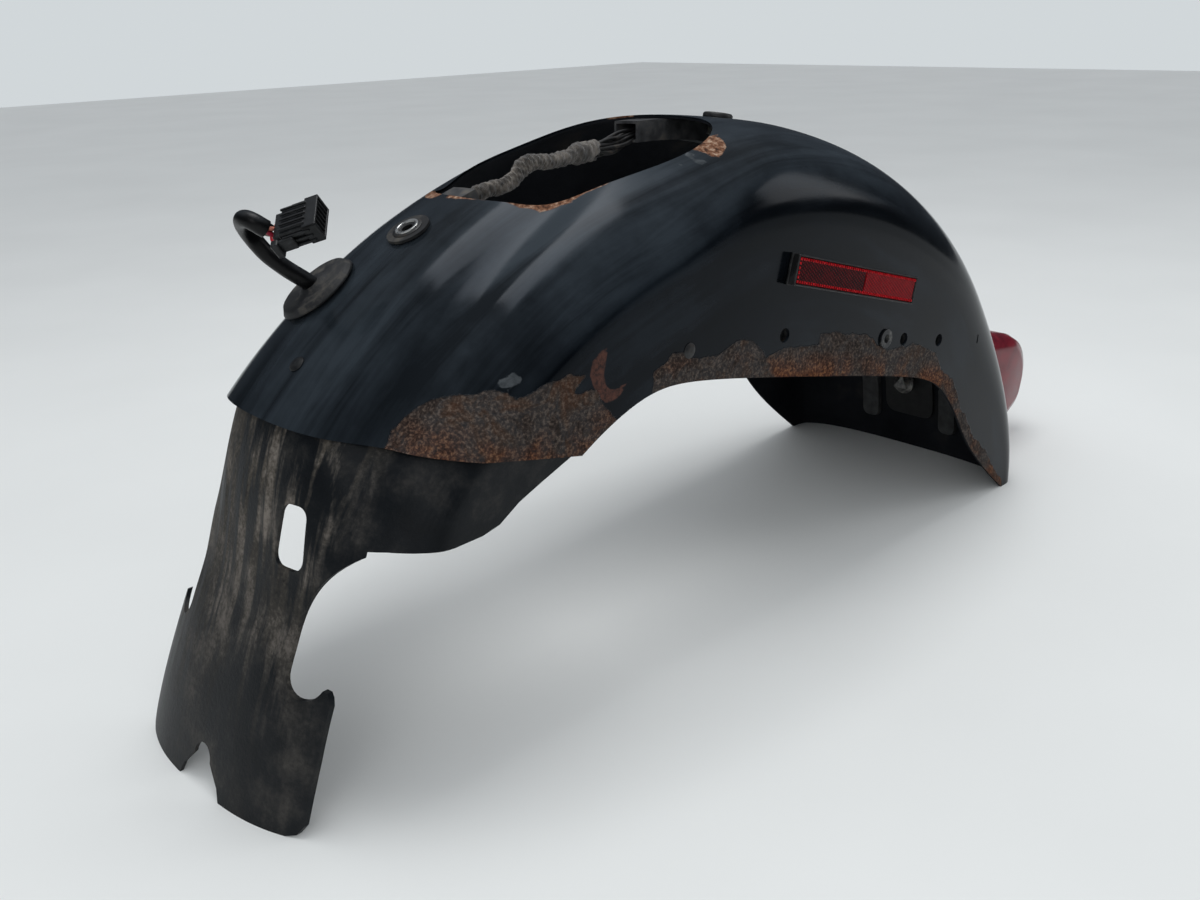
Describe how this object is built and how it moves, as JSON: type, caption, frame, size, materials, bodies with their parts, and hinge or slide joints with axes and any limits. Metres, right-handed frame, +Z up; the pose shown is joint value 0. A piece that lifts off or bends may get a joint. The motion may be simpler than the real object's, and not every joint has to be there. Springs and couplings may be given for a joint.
{
  "type": "motorcycle rear fender",
  "caption": "Deep curved rear fender with a seat opening, a front mudguard, side reflectors, a wiring lead with a plug and a rear tail light.",
  "frame": {"origin": "on the bench, under the centre of the box round the fender without its loose lead", "axes": "+X to the tail, +Y to the motorcycle's right side, +Z up from the bench it stands on"},
  "size_m": [0.7942, 0.236, 0.3167],
  "materials": {
    "painted_steel": "gloss black enamel, dusty and swirled, with rust breaking through along the edges",
    "satin_plastic": "satin black, dusty, with dried brown streaks",
    "bare_steel": "dull zinc",
    "dark_steel": "black painted, with light rust",
    "rubber": "dull black",
    "tape": "grey-brown cloth tape, dusty",
    "grey_plastic": "dull grey",
    "pale_plastic": "light grey",
    "black_plastic": "satin black",
    "red_lens": "translucent red",
    "reflector_red": "red prismatic",
    "chrome": "bright",
    "glass": "clear"
  },
  "bodies": {
    "root": {"fender_shell": "painted_steel", "front_mudguard": "satin_plastic", "mudguard_rivet": "dark_steel", "side_rivets": "dark_steel", "strut_plate_left": "dark_steel", "strut_plate_right": "dark_steel", "strut_bushing_left": "bare_steel", "strut_bushing_right": "bare_steel", "strut_nuts_left": "dark_steel", "strut_nuts_right": "dark_steel", "seat_washer": "rubber", "seat_nut": "bare_steel", "rear_seat_pad": "dark_steel", "rear_seat_nut": "bare_steel", "front_harness_channel": "grey_plastic", "taped_harness": "tape", "rear_harness_channel": "grey_plastic", "tail_harness": "rubber", "harness_grommet": "rubber", "lead_sheath": "rubber", "lead_wires": "rubber", "connector_housing": "black_plastic", "connector_lock": "black_plastic", "reflector_housing_left": "black_plastic", "reflector_housing_right": "black_plastic", "reflector_lens_left": "reflector_red", "reflector_lens_right": "reflector_red", "tail_light_gasket": "rubber", "tail_light_base": "black_plastic", "tail_light_lens": "red_lens", "tail_light_bowl": "chrome", "bulb_socket": "bare_steel", "bulb": "glass", "lens_screws": "bare_steel", "tail_light_plate": "dark_steel", "tail_light_bolt": "bare_steel", "tail_edge_pads": "pale_plastic"}
  },
  "joints": []
}
